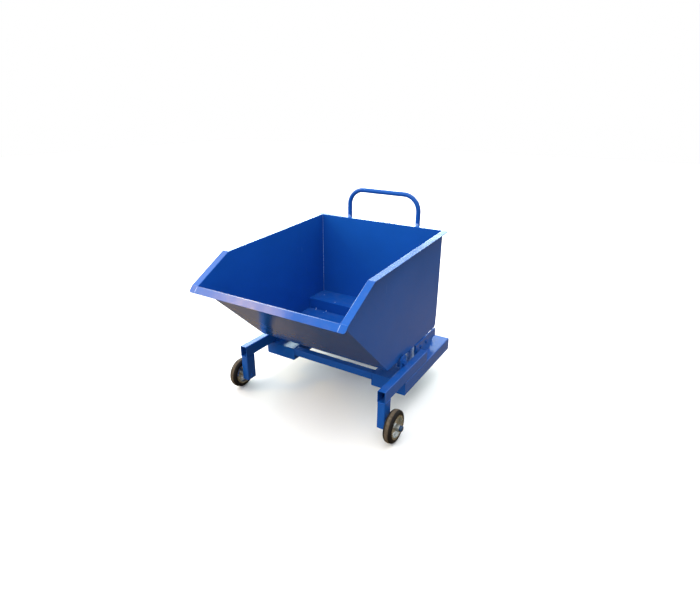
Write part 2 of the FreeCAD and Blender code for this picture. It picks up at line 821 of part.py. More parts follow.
def lock():
    bracket = new_body("lock_bracket")
    profile = new_sketch(bracket, "XZ_Plane")
    outline(profile, [
        ("0", "0"), ("lock_span", "0"), ("lock_span", "lock_ear_height"),
        ("lock_span - lock_ear", "lock_ear_height"), ("lock_span - lock_ear", "lock_base"),
        ("lock_ear", "lock_base"), ("lock_ear", "lock_ear_height"), ("0", "lock_ear_height")])
    pad(bracket, profile, "lock_depth", side="Symmetric")
    bore = new_sketch(bracket, "YZ_Plane")
    circle(bore, "0", "lock_axis", "lock_bolt / 2 + running_gap")
    cut_through(bracket, bore)
    place(bracket, "lock_inner", "lock_y", "pocket_top")
    keep(bracket, "lock_bracket")
    bolt = new_body("lock_bolt")
    path = new_sketch(bolt, "XZ_Plane")
    outline(path, [("0", "0"), ("lock_reach", "0", "lock_bend"), ("lock_reach", "lock_rise")], closed=False)
    section = new_sketch(bolt, "YZ_Plane")
    circle(section, "0", "0", "lock_bolt / 2")
    doc.recompute()
    rod = bolt.newObject("PartDesign::AdditivePipe", "lock_bolt_rod")
    rod.Profile = section
    rod.Spine = path
    doc.recompute()
    stop = new_sketch(bolt, "YZ_Plane", "lock_span - lock_ear - lock_stop - side_gap - lock_tip")
    circle(stop, "0", "0", "lock_stop_diameter / 2")
    pad(bolt, stop, "lock_stop")
    place(bolt, "lock_inner + lock_tip", "lock_y", "lock_z")
    keep(bolt, "lock_bolt")
    keeper = new_body("lock_keeper")
    hook = new_sketch(keeper, "YZ_Plane")
    ledge_top = "lock_z - lock_bolt / 2 - keeper_gap"
    ledge_low = f"{ledge_top} - keeper_thick"
    wall_y = "back_y + sheet"
    outline(hook, [
        (wall_y, ledge_low), (f"{wall_y} + keeper_ledge", ledge_low), (f"{wall_y} + keeper_ledge", ledge_top),
        (f"{wall_y} + keeper_thick", ledge_top), (f"{wall_y} + keeper_thick", "step_top + keeper_height"),
        (wall_y, "step_top + keeper_height")])
    pad(keeper, hook, "keeper_width")
    place(keeper, "lock_inner - keeper_side_gap - keeper_width", "0", "0")
    keep(keeper, "lock_keeper")


def castor_bolt_spots():
    """The four bolt places of a castor plate, from its kingpin."""
    return [(f"{across} * castor_hole_length / 2", f"{along} * castor_hole_width / 2")
            for across in (-1, 1) for along in (-1, 1)]


def castor_mounting():
    top = new_body("castor_plate_right")
    face = new_sketch(top, "XY_Plane")
    half_long = "castor_plate_length / 2"
    half_wide = "castor_plate_width / 2"
    rectangle(face, f"-{half_long}", f"-{half_wide}", half_long, half_wide, "castor_round")
    for x, y in castor_bolt_spots():
        circle(face, x, y, "castor_hole / 2")
    circle(face, "0", "0", "kingpin / 2 + running_gap")
    pad(top, face, "castor_plate")
    race = new_sketch(top, "XY_Plane")
    circle(race, "0", "0", "race_diameter / 2")
    circle(race, "0", "0", "kingpin / 2 + running_gap")
    pad(top, race, "race_height", reverse=True)
    place(top, "castor_x", "channel_y", "castor_height - castor_plate")
    both_hands(top, "castor_plate")
    fasteners = []
    for index, (x, y) in enumerate(castor_bolt_spots()):
        bolt = hex_bolt(f"castor_bolt_{index}", "castor_flats", "castor_head", "castor_bolt",
                        "castor_plate + channel_wall + castor_nut + tube_wall")
        under = Rotation(Vector(1, 0, 0), 180)
        place(bolt, f"castor_x + {x}", f"channel_y + {y}", "castor_height - castor_plate", under)
        nut = hex_nut(f"castor_nut_{index}", "castor_flats", "castor_bolt", "castor_nut")
        place(nut, f"castor_x + {x}", f"channel_y + {y}", "castor_height + channel_wall")
        for item in (bolt, nut):
            fasteners += [item, twin_of(item)]
    group(fasteners, "castor_bolts")
    pin = new_body("kingpin_right")
    profile = new_sketch(pin, "XZ_Plane")
    head_top = "crown_z - fork_crown - rest_gap"
    outline(profile, [
        ("0", f"{head_top} - kingpin_head"), ("kingpin_head_diameter / 2", f"{head_top} - kingpin_head"),
        ("kingpin_head_diameter / 2", head_top), ("kingpin / 2", head_top), ("kingpin / 2", "castor_height"),
        ("0", "castor_height")])
    revolve(pin, profile, "V_Axis")
    place(pin, "castor_x", "channel_y", "0")
    both_hands(pin, "kingpin")
    bearing = new_body("swivel_bearing")
    balls = new_sketch(bearing, "XY_Plane")
    circle(balls, "0", "0", "race_diameter / 2 - castor_plate")
    circle(balls, "0", "0", "kingpin / 2 + castor_plate")
    pad(bearing, balls, "bearing_height - rest_gap")
    place(bearing, "castor_x", "channel_y", "swivel_z + rest_gap")
    pair(bearing, "swivel_bearings")


def castor_forks():
    fork = new_body("castor_fork_right")
    cheek = new_sketch(fork, "YZ_Plane")
    half = "fork_top / 2"
    axle_high = "castor_wheel / 2"
    outline(cheek, [
        (f"-{half}", "crown_z - fork_crown"),
        ("castor_trail - fork_end", f"{axle_high} - fork_end", "fork_end / 2"),
        ("castor_trail + fork_end", f"{axle_high} - fork_end", "fork_end / 2"),
        ("castor_trail + fork_end", axle_high), (half, "crown_z - fork_crown"), (half, "crown_z"),
        (f"-{half}", "crown_z")])
    pad(fork, cheek, "2 * fork_outside", side="Symmetric")
    gap = new_sketch(fork, "XZ_Plane")
    rectangle(gap, "-fork_inside", "0", "fork_inside", "crown_z - fork_crown")
    cut_through(fork, gap)
    head = new_sketch(fork, "XY_Plane", "crown_z")
    circle(head, "0", "0", "swivel_diameter / 2")
    pad(fork, head, "swivel_height")
    axle_bore = new_sketch(fork, "YZ_Plane")
    circle(axle_bore, "castor_trail", axle_high, "castor_axle / 2 + running_gap")
    cut_through(fork, axle_bore)
    pin_bore = new_sketch(fork, "XY_Plane")
    circle(pin_bore, "0", "0", "kingpin / 2 + running_gap")
    cut_through(fork, pin_bore)
    place(fork, "castor_x", "channel_y", "0")
    both_hands(fork, "castor_fork")


def castor_wheels():
    wheel_y = "channel_y + castor_trail"
    wheel_z = "castor_wheel / 2"
    rubber = tyre("castor_tyre_right", "castor_wheel", "castor_width", "castor_rim", "castor_rim_lip",
                  "castor_round")
    disc = rim("castor_rim_right", "castor_rim", "castor_width", "castor_rim_lip", "castor_hub")
    for body, name in ((rubber, "castor_tyre"), (disc, "castor_rim")):
        place(body, "castor_x", wheel_y, wheel_z)
        both_hands(body, name)
    hub = ring("castor_hub_right", "castor_hub / 2", "castor_axle / 2 + running_gap", "castor_hub_length")
    place(hub, "castor_x - castor_hub_length / 2", wheel_y, wheel_z)
    both_hands(hub, "castor_hub")
    bolt = hex_bolt("castor_axle_right", "castor_axle_flats", "castor_axle_head", "castor_axle",
                    "2 * fork_outside + rest_nut + tube_wall")
    place(bolt, "castor_x + fork_outside", wheel_y, wheel_z, ALONG_X)
    nut = hex_nut("castor_axle_nut_right", "castor_axle_flats", "castor_axle", "rest_nut")
    place(nut, "castor_x - fork_outside", wheel_y, wheel_z, AGAINST_X)
    axle = doc.addObject("Part::Compound", "castor_axle_set")
    axle.Links = [bolt, nut]
    both_hands(axle, "castor_axle")


def check_all():
    """Stop at any object that failed, and at any piece without a sound shape."""
    doc.recompute()
    for item in doc.Objects:
        if "Invalid" in item.State or "Error" in item.State:
            raise RuntimeError(f"{item.Label} failed: {item.State}")
    for item in pieces:
        if item.Shape.isNull() or not item.Shape.isValid() or not item.Shape.Solids:
            raise RuntimeError(f"{item.Label} has no sound shape")


def write_pieces():
    os.makedirs("parts", exist_ok=True)
    for item in pieces:
        item.Shape.exportStep(f"parts/{item.Label}.step")


fill_sheet()
for build in (fork_pockets, cross_members, rails_and_legs, axles, front_wheels, pivot, skip_sides, skip_floor,
              skip_back, push_handle, rear_rests, lock, castor_mounting, castor_forks, castor_wheels):
    build()
check_all()
write_pieces()
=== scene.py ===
import json
import math
import random
import bpy
from mathutils import Matrix, Vector


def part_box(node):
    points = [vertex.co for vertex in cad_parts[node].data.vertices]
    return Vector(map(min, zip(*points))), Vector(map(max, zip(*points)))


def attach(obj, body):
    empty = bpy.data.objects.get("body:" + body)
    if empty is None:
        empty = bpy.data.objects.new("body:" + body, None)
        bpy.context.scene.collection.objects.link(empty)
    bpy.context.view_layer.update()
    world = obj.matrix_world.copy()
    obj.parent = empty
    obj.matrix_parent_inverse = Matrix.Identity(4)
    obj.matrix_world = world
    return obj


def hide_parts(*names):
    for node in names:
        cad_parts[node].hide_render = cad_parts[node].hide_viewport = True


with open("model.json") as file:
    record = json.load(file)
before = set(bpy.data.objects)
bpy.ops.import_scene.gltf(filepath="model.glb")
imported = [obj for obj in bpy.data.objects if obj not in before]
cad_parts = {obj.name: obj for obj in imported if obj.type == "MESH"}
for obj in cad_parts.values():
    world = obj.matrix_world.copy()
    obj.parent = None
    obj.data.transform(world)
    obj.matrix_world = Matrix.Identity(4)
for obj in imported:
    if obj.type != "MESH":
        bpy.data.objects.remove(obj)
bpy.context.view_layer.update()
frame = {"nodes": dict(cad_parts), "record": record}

# The looks of a blue tipping skip trolley: gloss paint over sheet steel and tube, weld beads, zinc wheels
# with dusty rubber tyres. Metres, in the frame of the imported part.

NODES = frame["nodes"]
SIDES = (("left", -1), ("right", 1))

# Camera of the photograph
CAMERA_PLACE = Vector((1.25028, -1.90667, 1.44067))
CAMERA_YAW = math.radians(31.20)
CAMERA_PITCH = math.radians(21.81)
CAMERA_ROLL = math.radians(0.44)
FOCAL_PIXELS = 491.19
PHOTO_WIDTH = 700
SENSOR_WIDTH = 36

# Sizes that the boxes of the nodes don't give
SHEET = 0.003
STEP_DEPTH = 0.150
FLOOR_LENGTH = 0.572
CHUTE_ANGLE = math.radians(44)
CHUTE_LENGTH = 0.564
SUPPORT_FOOT = 0.191
END_PLATE = 0.004

# Linear colours
BLUE = (0.009, 0.098, 0.43, 1)
BLUE_DEEP = (0.008, 0.088, 0.385, 1)
# Pale blue of rubbed paint, also used for painted highlights along folds and seams
BLUE_WEAR_AND_HIGHLIGHT = (0.30, 0.47, 0.80, 1)
DUST = (0.20, 0.18, 0.15, 1)
ZINC = (0.74, 0.77, 0.77, 1)
ZINC_DULL = (0.42, 0.44, 0.43, 1)
RUBBER = (0.008, 0.007, 0.007, 1)
RUBBER_GREY = (0.018, 0.016, 0.015, 1)
TREAD_DUST = (0.22, 0.17, 0.12, 1)
CAP_BLUE = (0.009, 0.040, 0.095, 1)
CAP_PALE = (0.012, 0.056, 0.14, 1)
FLOOR_SEEN = (0.86, 0.86, 0.86, 1)
FLOOR_BOUNCE = (0.195, 0.13, 0.052, 1)
FLOOR_FAR = (0.08, 0.06, 0.035, 1)
WARM = (1.0, 0.66, 0.20, 1)
COOL = (0.80, 1.0, 0.98, 1)
CLEAR = (0.97, 0.985, 1.0, 1)
WHITE = (1, 1, 1, 1)

# Sockets of a colour mix, by number because their names come more than once
MIX_FACTOR = 0
MIX_FIRST = 6
MIX_SECOND = 7
MIX_RESULT = 2


class Graph:
    """The nodes of one material or of the sky, added and joined by short calls."""

    def __init__(self, owner, shader="Principled BSDF"):
        owner.use_nodes = True
        self.owner = owner
        self.tree = owner.node_tree
        self.shader = self.tree.nodes[shader]
        self.place = self.add("TexCoord")

    def add(self, kind, **settings):
        """A new node of one kind with its settings."""
        node = self.tree.nodes.new("ShaderNode" + kind)
        for name, value in settings.items():
            setattr(node, name, value)
        return node

    def join(self, value, socket):
        """Link an output to a socket, or set a plain value on it."""
        if isinstance(value, bpy.types.NodeSocket):
            self.tree.links.new(value, socket)
        else:
            socket.default_value = value

    def give(self, **values):
        """Set or link the shader's own sockets, named in lower case with underscores."""
        for name, value in values.items():
            socket = self.shader.inputs[name.replace("_", " ").title().replace("Ior", "IOR")]
            self.join(value, socket)

    def stretched(self, scale):
        """The object's own coordinates, scaled along each axis."""
        node = self.add("Mapping")
        self.join(self.place.outputs["Object"], node.inputs["Vector"])
        node.inputs["Scale"].default_value = scale
        return node.outputs["Vector"]

    def inside(self, centre, half_axes, tilt):
        """The object's own coordinates as seen from an ellipsoid, of length one on its skin."""
        node = self.add("Mapping", vector_type="TEXTURE")
        self.join(self.place.outputs["Object"], node.inputs["Vector"])
        node.inputs["Location"].default_value = centre
        node.inputs["Rotation"].default_value = (tilt, 0, 0)
        node.inputs["Scale"].default_value = half_axes
        return node.outputs["Vector"]

    def length(self, vector):
        """The length of a vector."""
        node = self.add("VectorMath", operation="LENGTH")
        self.join(vector, node.inputs[0])
        return node.outputs["Value"]

    def distance(self, scale):
        """How far a point is from the object's own origin along the axes that the scale keeps."""
        return self.length(self.stretched(scale))

    def noise(self, scale, detail=2.0, vector=None):
        """Soft noise around one half, in the object's own coordinates unless others are given."""
        node = self.add("TexNoise")
        self.join(vector or self.place.outputs["Object"], node.inputs["Vector"])
        node.inputs["Scale"].default_value = scale
        node.inputs["Detail"].default_value = detail
        return node.outputs["Fac"]

    def fade(self, value, low, high, from_value=0.0, to_value=1.0):
        """Carry a value over from one range to another, held at both ends."""
        node = self.add("MapRange")
        for socket, item in zip(node.inputs, (value, low, high, from_value, to_value)):
            self.join(item, socket)
        return node.outputs["Result"]

    def math(self, operation, first, second):
        """Two values put together by one operation."""
        node = self.add("Math", operation=operation)
        self.join(first, node.inputs[0])
        self.join(second, node.inputs[1])
        return node.outputs[0]

    def mix(self, factor, first, second):
        """One colour carried over to another."""
        node = self.add("Mix", data_type="RGBA")
        self.join(factor, node.inputs[MIX_FACTOR])
        self.join(first, node.inputs[MIX_FIRST])
        self.join(second, node.inputs[MIX_SECOND])
        return node.outputs[MIX_RESULT]

    def part(self, output, axis):
        """One axis of a normal or of a direction."""
        node = self.add("SeparateXYZ")
        self.join(self.place.outputs[output], node.inputs[0])
        return node.outputs[axis]

    def bump(self, height, distance, under=None):
        """A normal that leans with a height, over another normal where one is given."""
        node = self.add("Bump")
        node.inputs["Strength"].default_value = 1.0
        node.inputs["Distance"].default_value = distance
        self.join(height, node.inputs["Height"])
        if under is not None:
            self.join(under, node.inputs["Normal"])
        return node.outputs["Normal"]


# Places where the paint is painted pale, each an ellipsoid: centre, half axes, tilt about the X axis. The
# folds get painted highlights; the corner seams and handle feet get painted highlights over partly rubbed
# paint
CHAMFER_TILT = math.radians(28.7)
LIP_FOLD = ((0, -0.5216, 0.690), (0.42, 0.0042, 0.0042), 0)
RIGHT_CHAMFER_FOLD = ((0.370, -0.421, 0.745), (0.0034, 0.125, 0.0034), CHAMFER_TILT)
REAR_CORNER = ((0.370, 0.454, 0.6), (0.0026, 0.0026, 0.36), 0)
LIP_CORNER = ((0.3725, -0.534, 0.677), (0.00225, 0.018, 0.018), 0)
HANDLE_FOOT = ((0.212, 0.489, 0.838), (0.013, 0.013, 0.013), 0)
# Share of an ellipsoid, from its middle, that is painted pale to the full
WEAR_AND_HIGHLIGHT_CORE = 0.6

# Small scuffs on top of the skip's floor and step, their centres a little above the sheet
SCUFF_AXES = (0.0068, 0.0068, 0.0068)
FLOOR_SCUFF_Z = 0.303
STEP_SCUFF_Z = 0.366
FLOOR_SCUFFS = ((-0.320, 0.293), (-0.324, 0.302), (-0.256, 0.281), (-0.252, 0.300))
STEP_SCUFFS = ((-0.322, 0.388), (-0.201, 0.321))


def wear_and_highlight_places():
    """All pale places: painted highlights along the lip's fold and the right chamfer's fold, painted
    highlights over partly rubbed paint at the rear corner seams, the lip's corners and the handle's feet
    on both sides, and real scuffs on the floor and step.
    """
    places = [LIP_FOLD, RIGHT_CHAMFER_FOLD]
    for _, sign in SIDES:
        for (x, y, z), half_axes, tilt in (REAR_CORNER, LIP_CORNER, HANDLE_FOOT):
            places.append(((sign * x, y, z), half_axes, tilt))
    for scuffs, z in ((FLOOR_SCUFFS, FLOOR_SCUFF_Z), (STEP_SCUFFS, STEP_SCUFF_Z)):
        for x, y in scuffs:
            places.append(((x, y, z), SCUFF_AXES, 0))
    return places


def wear_and_highlight_marks(graph):
    """How pale the paint is made, from none to fully, in each place of painted highlight and of wear."""
    marks = 0.0
    for centre, half_axes, tilt in wear_and_highlight_places():
        away = graph.length(graph.inside(centre, half_axes, tilt))
        marks = graph.math("MAXIMUM", marks, graph.fade(away, 1.0, WEAR_AND_HIGHLIGHT_CORE))
    return marks


# The middle of the noise's range, where most of its values lie
NOISE_SPAN = (0.3, 0.7)

# Blue paint: how strong each mark gets, how rough the gloss is, how deep waves and orange peel are
STREAK_STRETCH = (14, 160, 14)
STREAK_SHARE = 0.12
LEAST_DOT = 0.3
GRIME_SHARE = 0.12
PAINT_ROUGHNESS = (0.13, 0.21)
PAINT_SHEEN = 0.24
WAVE_DEPTH = 0.0022
PEEL_DEPTH = 0.00002


def blue_paint():
    """Gloss enamel over rolled sheet: slow waves, orange peel, a few scuffs, painted highlights along
    folds and seams, and thin dust on top faces.
    """
    graph = Graph(bpy.data.materials.new("blue_paint"))
    cloud = graph.noise(scale=3.5, detail=3.0)
    colour = graph.mix(graph.fade(cloud, *NOISE_SPAN), BLUE_DEEP, BLUE)
    streaks = graph.noise(scale=1.0, detail=4.0, vector=graph.stretched(STREAK_STRETCH))
    streaks = graph.fade(streaks, low=0.66, high=0.72, to_value=STREAK_SHARE)
    patches = graph.fade(graph.noise(scale=6.0), low=0.55, high=0.75)
    colour = graph.mix(graph.math("MULTIPLY", streaks, patches), colour, BLUE_WEAR_AND_HIGHLIGHT)
    dots = graph.fade(graph.noise(scale=170.0), low=0.35, high=0.6, from_value=LEAST_DOT)
    # Painted highlights along the folds, painted highlights over partly rubbed paint at seams and handle
    # feet, and real scuffs on floor and step
    colour = graph.mix(graph.math("MULTIPLY", wear_and_highlight_marks(graph), dots), colour, BLUE_WEAR_AND_HIGHLIGHT)
    upward = graph.fade(graph.part("Normal", "Z"), low=0.7, high=0.95)
    grime = graph.fade(graph.noise(scale=22.0, detail=5.0), low=0.45, high=0.8, to_value=GRIME_SHARE)
    colour = graph.mix(graph.math("MULTIPLY", upward, grime), colour, DUST)
    roughness = graph.fade(graph.noise(scale=40.0, detail=3.0), *NOISE_SPAN, *PAINT_ROUGHNESS)
    waves = graph.bump(graph.noise(scale=7.0, detail=1.0), WAVE_DEPTH)
    peel = graph.bump(graph.noise(scale=420.0, detail=1.0), PEEL_DEPTH, waves)
    graph.give(base_color=colour, roughness=roughness, specular_ior_level=PAINT_SHEEN, normal=peel)
    return graph.owner


# Zinc plating: roughness of steel parts and of fasteners, its spread, strength of spangle and dull patches
STEEL_ROUGHNESS = 0.30
FASTENER_ROUGHNESS = 0.34
SMOOTHER = 0.07
ROUGHER = 0.1
SPANGLE_SCALE = 260
SPANGLE_SHARE = 0.35
DULL_SHARE = 0.6
ZINC_GRAIN = 0.00004


def zinc(name, roughness):
    """Bright zinc plating with a faint spangle and dull patches."""
    graph = Graph(bpy.data.materials.new(name))
    spangle = graph.add("TexVoronoi")
    graph.join(graph.place.outputs["Object"], spangle.inputs["Vector"])
    spangle.inputs["Scale"].default_value = SPANGLE_SCALE
    flakes = graph.fade(spangle.outputs["Distance"], low=0.1, high=0.8, to_value=SPANGLE_SHARE)
    dull = graph.fade(graph.noise(scale=45.0, detail=4.0), low=0.45, high=0.75, to_value=DULL_SHARE)
    colour = graph.mix(graph.math("ADD", flakes, dull), ZINC, ZINC_DULL)
    spread = (roughness - SMOOTHER, roughness + ROUGHER)
    uneven = graph.fade(graph.noise(scale=90.0, detail=3.0), *NOISE_SPAN, *spread)
    grain = graph.bump(graph.noise(scale=700.0), ZINC_GRAIN)
    graph.give(base_color=colour, metallic=1.0, roughness=uneven, normal=grain)
    return graph.owner


# Tyre rubber: depths below the crown and shares of the half width where the tread's dust ends and is full,
# how far the dust at the rim reaches and how strong it gets, and roughness without dust and with it
TREAD_CLEAN = 0.0024
TREAD_DUSTY = 0.0010
DUST_EDGE = 0.55
DUST_CORE = 0.38
RIM_DUST_REACH = 0.006
RIM_DUST_SHARE = 0.35
TYRE_ROUGHNESS = (0.6, 0.9)
TYRE_SHEEN = 0.12
TYRE_GRAIN = 0.00012


def tyre_rubber(name, half, tread, rim_edge):
    """Black rubber with dark walls, a dusty ring at the rim and tan dust along the middle of the tread."""
    graph = Graph(bpy.data.materials.new(name))
    out = graph.distance((0, 1, 1))
    across = graph.distance((1, 0, 0))
    patches = graph.noise(scale=70.0, detail=4.0)
    worn = graph.fade(out, tread - TREAD_CLEAN, tread - TREAD_DUSTY)
    worn = graph.math("MULTIPLY", worn, graph.fade(across, half * DUST_EDGE, half * DUST_CORE))
    thick = graph.fade(patches, low=0.3, high=0.6, from_value=0.45, to_value=0.85)
    worn = graph.math("MULTIPLY", worn, thick)
    seat = graph.fade(out, rim_edge + RIM_DUST_REACH, rim_edge, to_value=RIM_DUST_SHARE)
    seat = graph.math("MULTIPLY", seat, graph.fade(patches, low=0.35, high=0.65, from_value=0.3))
    wall = graph.mix(graph.noise(scale=35.0, detail=3.0), RUBBER, RUBBER_GREY)
    colour = graph.mix(graph.math("MAXIMUM", worn, seat), wall, TREAD_DUST)
    roughness = graph.fade(worn, 0.0, 1.0, *TYRE_ROUGHNESS)
    grain = graph.bump(graph.noise(scale=900.0, detail=3.0), TYRE_GRAIN)
    graph.give(base_color=colour, roughness=roughness, specular_ior_level=TYRE_SHEEN, normal=grain)
    return graph.owner


# Rubber of the rest pads and plastic of the axle caps
PAD_ROUGHNESS = 0.75
PAD_GRAIN = 0.00008
CAP_ROUGHNESS = 0.22
CAP_GRAIN = 0.00003


def black_rubber():
    """Plain black rubber, faintly clouded."""
    graph = Graph(bpy.data.materials.new("black_rubber"))
    colour = graph.mix(graph.noise(scale=60.0, detail=4.0), RUBBER, RUBBER_GREY)
    grain = graph.bump(graph.noise(scale=1200.0), PAD_GRAIN)
    graph.give(base_color=colour, roughness=PAD_ROUGHNESS, normal=grain)
    return graph.owner


def cap_plastic():
    """Moulded dark blue plastic, faintly clouded."""
    graph = Graph(bpy.data.materials.new("dark_blue_caps"))
    cloud = graph.fade(graph.noise(scale=120.0, detail=3.0), *NOISE_SPAN)
    grain = graph.bump(graph.noise(scale=1500.0), CAP_GRAIN)
    graph.give(base_color=graph.mix(cloud, CAP_BLUE, CAP_PALE), roughness=CAP_ROUGHNESS, normal=grain)
    return graph.owner


PAINT = blue_paint()
RUBBER_BLACK = black_rubber()
FINISHES = {
    "blue_paint": PAINT,
    "zinc_steel": zinc("zinc_steel", STEEL_ROUGHNESS),
    "zinc_fasteners": zinc("zinc_fasteners", FASTENER_ROUGHNESS),
    "dark_blue_caps": cap_plastic(),
    "black_rubber": RUBBER_BLACK,
}

# Rounded edges of folded sheet, tube ends and plates
EDGE = 0.0007
EDGE_SEGMENTS = 2
EDGE_ANGLE = math.radians(40)


def finish_nodes():
    """Give every node but the tyres its material and rounded edges."""
    for entry in frame["record"]["subparts"]:
        node = NODES[entry["node"]]
        slot = entry["material_slot"]
        if slot not in FINISHES:
            continue
        node.data.materials.clear()
        node.data.materials.append(FINISHES[slot])
        bevel = node.modifiers.new("rounded_edges", "BEVEL")
        bevel.width = EDGE
        bevel.segments = EDGE_SEGMENTS
        bevel.limit_method = "ANGLE"
        bevel.angle_limit = EDGE_ANGLE
        bevel.harden_normals = True


def new_object(name, mesh, material, body, place=(0, 0, 0)):
    """A piece of the trolley that rides on a body."""
    piece = bpy.data.objects.new(name, mesh)
    bpy.context.scene.collection.objects.link(piece)
    piece.location = place
    mesh.materials.append(material)
    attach(piece, body)
    return piece


def mesh_from(name, points, faces, smooth=True):
    """A mesh of points and faces, shaded smooth or flat."""
    mesh = bpy.data.meshes.new(name)
    mesh.from_pydata(points, [], faces)
    mesh.validate()
    if smooth:
        mesh.shade_smooth()
    return mesh


def ring_faces(rows, count, closed_rows):
    """Quads between rows of points that each close on themselves."""
    faces = []
    for row in range(rows if closed_rows else rows - 1):
        here = row * count
        ahead = (row + 1) % rows * count
        for index in range(count):
            side = (index + 1) % count
            faces.append((here + index, here + side, ahead + side, ahead + index))
    return faces


# Weld beads: points around, length of a ripple, rings in a ripple, least rings, swelling by ripple,
# thickness and steepness of the ends, uneven swelling
BEAD_SIDES = 8
BEAD_PITCH = 0.006
BEAD_STEPS = 3
BEAD_LEAST = 4
BEAD_RIPPLE = 0.14
BEAD_END = 0.35
BEAD_RISE = 6
BEAD_SPREAD = (0.93, 1.07)

# Radii of the beads
SEAM_BEAD = 0.0019
FRAME_BEAD = 0.003
LEG_BEAD = 0.0028
LOCK_BEAD = 0.0025
AXLE_BEAD = 0.0026

# How far beads stop short of an edge or stand off a tube
SEAM_INSET = 0.004
RIM_INSET = 0.0028
TUBE_GAP = 0.001
KEEPER_FOOT = 0.006

# Stitches along the rails, and arcs in degrees around the handle's legs and the axles
STITCH_STARTS = (0.075, 0.125)
STITCH_LENGTH = 0.035
HANDLE_ARC = (-140, -40)
HANDLE_ARC_STEPS = 5
FULL_TURN = (0, 360)
AXLE_ARC_STEPS = 18


def bead_rows(start, end, radius, dice):
    """Rings of points along one straight seam, swollen and uneven like the ripples of a weld."""
    along = (end - start).normalized()
    across = along.orthogonal().normalized()
    over = along.cross(across)
    count = max(BEAD_LEAST, round((end - start).length / BEAD_PITCH * BEAD_STEPS))
    rows = []
    for step in range(count + 1):
        share = step / count
        ripple = 1 - BEAD_RIPPLE + BEAD_RIPPLE * math.cos(step / BEAD_STEPS * math.tau)
        taper = min(1, BEAD_END + BEAD_RISE * min(share, 1 - share))
        swell = radius * ripple * taper * dice.uniform(*BEAD_SPREAD)
        centre = start.lerp(end, share)
        for turn in range(BEAD_SIDES):
            angle = turn / BEAD_SIDES * math.tau
            rows.append(centre + across * (swell * math.cos(angle)) + over * (swell * math.sin(angle)))
    return rows


def weld(name, seams, radius, body):
    """One piece with a bead along every seam, each a pair of points."""
    dice = random.Random(name)
    points = []
    faces = []
    for start, end in seams:
        rows = bead_rows(Vector(start), Vector(end), radius, dice)
        base = len(points)
        count = len(rows) // BEAD_SIDES
        points += rows
        faces += [tuple(base + index for index in face) for face in ring_faces(count, BEAD_SIDES, False)]
        faces.append(tuple(base + index for index in reversed(range(BEAD_SIDES))))
        faces.append(tuple(base + len(rows) - BEAD_SIDES + index for index in range(BEAD_SIDES)))
    new_object(name, mesh_from(name, points, faces), PAINT, body)


def both_sides(seams):
    """The same seams on the left and the right of the middle plane."""
    return [[(sign * x, y, z) for x, y, z in seam] for seam in seams for _, sign in SIDES]


def polyline(points):
    """The seams from each point to the next."""
    return list(zip(points, points[1:]))


def arc_seam(centre, radius, degrees, count, axes):
    """Short seams along an arc in the plane of two axes, from its first angle to its last."""
    first, last = degrees
    points = []
    for step in range(count + 1):
        angle = math.radians(first + (last - first) * step / count)
        point = list(centre)
        point[axes[0]] += radius * math.cos(angle)
        point[axes[1]] += radius * math.sin(angle)
        points.append(tuple(point))
    return polyline(points)


def skip_seam_welds():
    """Beads where floor and rear wall meet the skip's sides, and along the rear edge of the step."""
    wall_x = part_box("right_skip_side")[0].x
    rear_low, rear_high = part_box("skip_rear_wall")
    back_y = rear_low.y
    step_y = back_y - STEP_DEPTH
    bend_y = back_y - FLOOR_LENGTH + SHEET * math.tan(CHUTE_ANGLE / 2)
    lip_y = bend_y - CHUTE_LENGTH * math.cos(CHUTE_ANGLE)
    floor_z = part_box("skip_floor")[0].z + SHEET
    step_z = rear_low.z + SHEET
    lip_z = floor_z + CHUTE_LENGTH * math.sin(CHUTE_ANGLE)
    line = [(lip_y, lip_z), (bend_y, floor_z), (step_y, floor_z), (step_y, step_z), (back_y, step_z),
            (back_y, rear_high.z - RIM_INSET)]
    seams = both_sides(polyline([(wall_x, y, z) for y, z in line]))
    seams.append(((-wall_x, back_y, step_z), (wall_x, back_y, step_z)))
    weld("skip_seam_welds", seams, SEAM_BEAD, "skip")


def lug_welds():
    """Beads along the top of the pivot lugs, under the skip's floor."""
    low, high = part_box("right_pivot_lug")
    seams = [((low.x, low.y, high.z), (low.x, high.y, high.z))]
    weld("lug_welds", both_sides(seams), FRAME_BEAD, "skip")


def handle_welds():
    """Beads between the push handle's legs and the edge of the rear flange, and along its brackets."""
    tube_low, tube_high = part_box("push_handle")
    radius = (tube_high.y - tube_low.y) / 2
    leg_x = tube_high.x - radius
    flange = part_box("skip_rear_wall")[1]
    middle = (leg_x, flange.y + radius, flange.z - TUBE_GAP)
    seams = arc_seam(middle, radius + TUBE_GAP, HANDLE_ARC, HANDLE_ARC_STEPS, (0, 1))
    low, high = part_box("handle_brackets")
    for z in (low.z, high.z):
        seams.append(((leg_x, low.y, z), (leg_x, high.y, z)))
    weld("handle_welds", both_sides(seams), FRAME_BEAD, "skip")


def keeper_welds():
    """Beads up both sides of the keeper on the rear wall."""
    step_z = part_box("skip_rear_wall")[0].z + SHEET
    low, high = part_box("lock_keeper")
    seams = [((x, low.y, step_z + KEEPER_FOOT), (x, low.y, high.z - SEAM_INSET)) for x in (low.x, high.x)]
    weld("keeper_welds", seams, FRAME_BEAD, "skip")


def across_rail(y):
    """A seam across the underside of the right rail."""
    low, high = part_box("right_side_rail")
    return (low.x + SEAM_INSET, y, low.z), (high.x - SEAM_INSET, y, low.z)


def leg_welds():
    """Beads around the top of each wheel leg, on the underside of its rail."""
    rail_low, rail_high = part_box("right_side_rail")
    low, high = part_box("right_wheel_leg")
    seams = [across_rail(low.y), across_rail(high.y)]
    for x in (rail_low.x, rail_high.x):
        seams.append(((x, low.y + SEAM_INSET, rail_low.z), (x, high.y - SEAM_INSET, rail_low.z)))
    weld("leg_welds", both_sides(seams), LEG_BEAD, "base")


